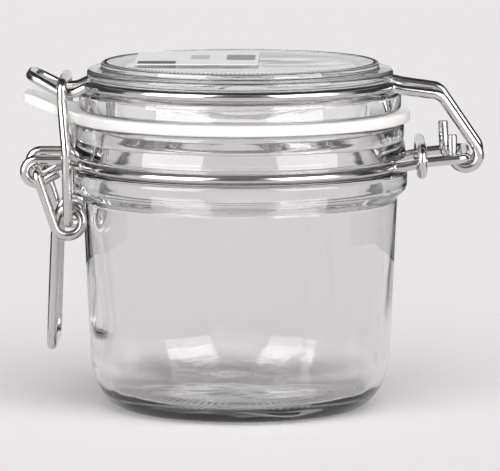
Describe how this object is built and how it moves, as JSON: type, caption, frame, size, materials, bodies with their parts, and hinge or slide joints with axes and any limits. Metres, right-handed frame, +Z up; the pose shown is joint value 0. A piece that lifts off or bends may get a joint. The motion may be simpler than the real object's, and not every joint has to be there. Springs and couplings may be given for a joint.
{
  "type": "clip top jar",
  "caption": "Squat clear glass storage jar with a hinged glass lid, a white rubber sealing ring and a wire clasp that pulls the lid down.",
  "frame": {"origin": "middle of the jar's underside, on the jar's axis", "axes": "+Z up along the jar's axis, +X towards the lid's hinge, -X towards the clasp, Y along the hinge pin"},
  "size_m": [0.1355, 0.0994, 0.1024],
  "materials": {
    "clear_glass": "clear pressed glass, fire polished",
    "white_rubber": "smooth matt",
    "steel_wire": "bright drawn wire",
    "label_paper": "matt paper label with plain grey fields"
  },
  "bodies": {
    "jar": {"jar_glass": "clear_glass", "gasket": "white_rubber", "neck_wire": "steel_wire", "hinge_hoop": "steel_wire"},
    "lid": {"lid_glass": "clear_glass", "lid_wire": "steel_wire", "lid_label": "label_paper"},
    "lever": {"clasp_lever": "steel_wire"},
    "link": {"clasp_link": "steel_wire"}
  },
  "joints": [
    {"name": "lid_hinge", "type": "hinge", "parent": "jar", "child": "lid", "pos_m": [0.066, 0, 0.0749], "axis": [0, 1, 0], "range_deg": [0, 180]},
    {"name": "lever_pivot", "type": "hinge", "parent": "jar", "child": "lever", "pos_m": [-0.0591, 0, 0.0705], "axis": [0, 1, 0], "range_deg": [0, 150]},
    {"name": "link_pivot", "type": "hinge", "parent": "lever", "child": "link", "pos_m": [-0.04975, 0, 0.056], "axis": [0, 1, 0], "range_deg": [-327, 0]}
  ],
  "couplings": [
    {"joint": "link_pivot", "follows": "lever_pivot", "ratio": -2.18}
  ]
}
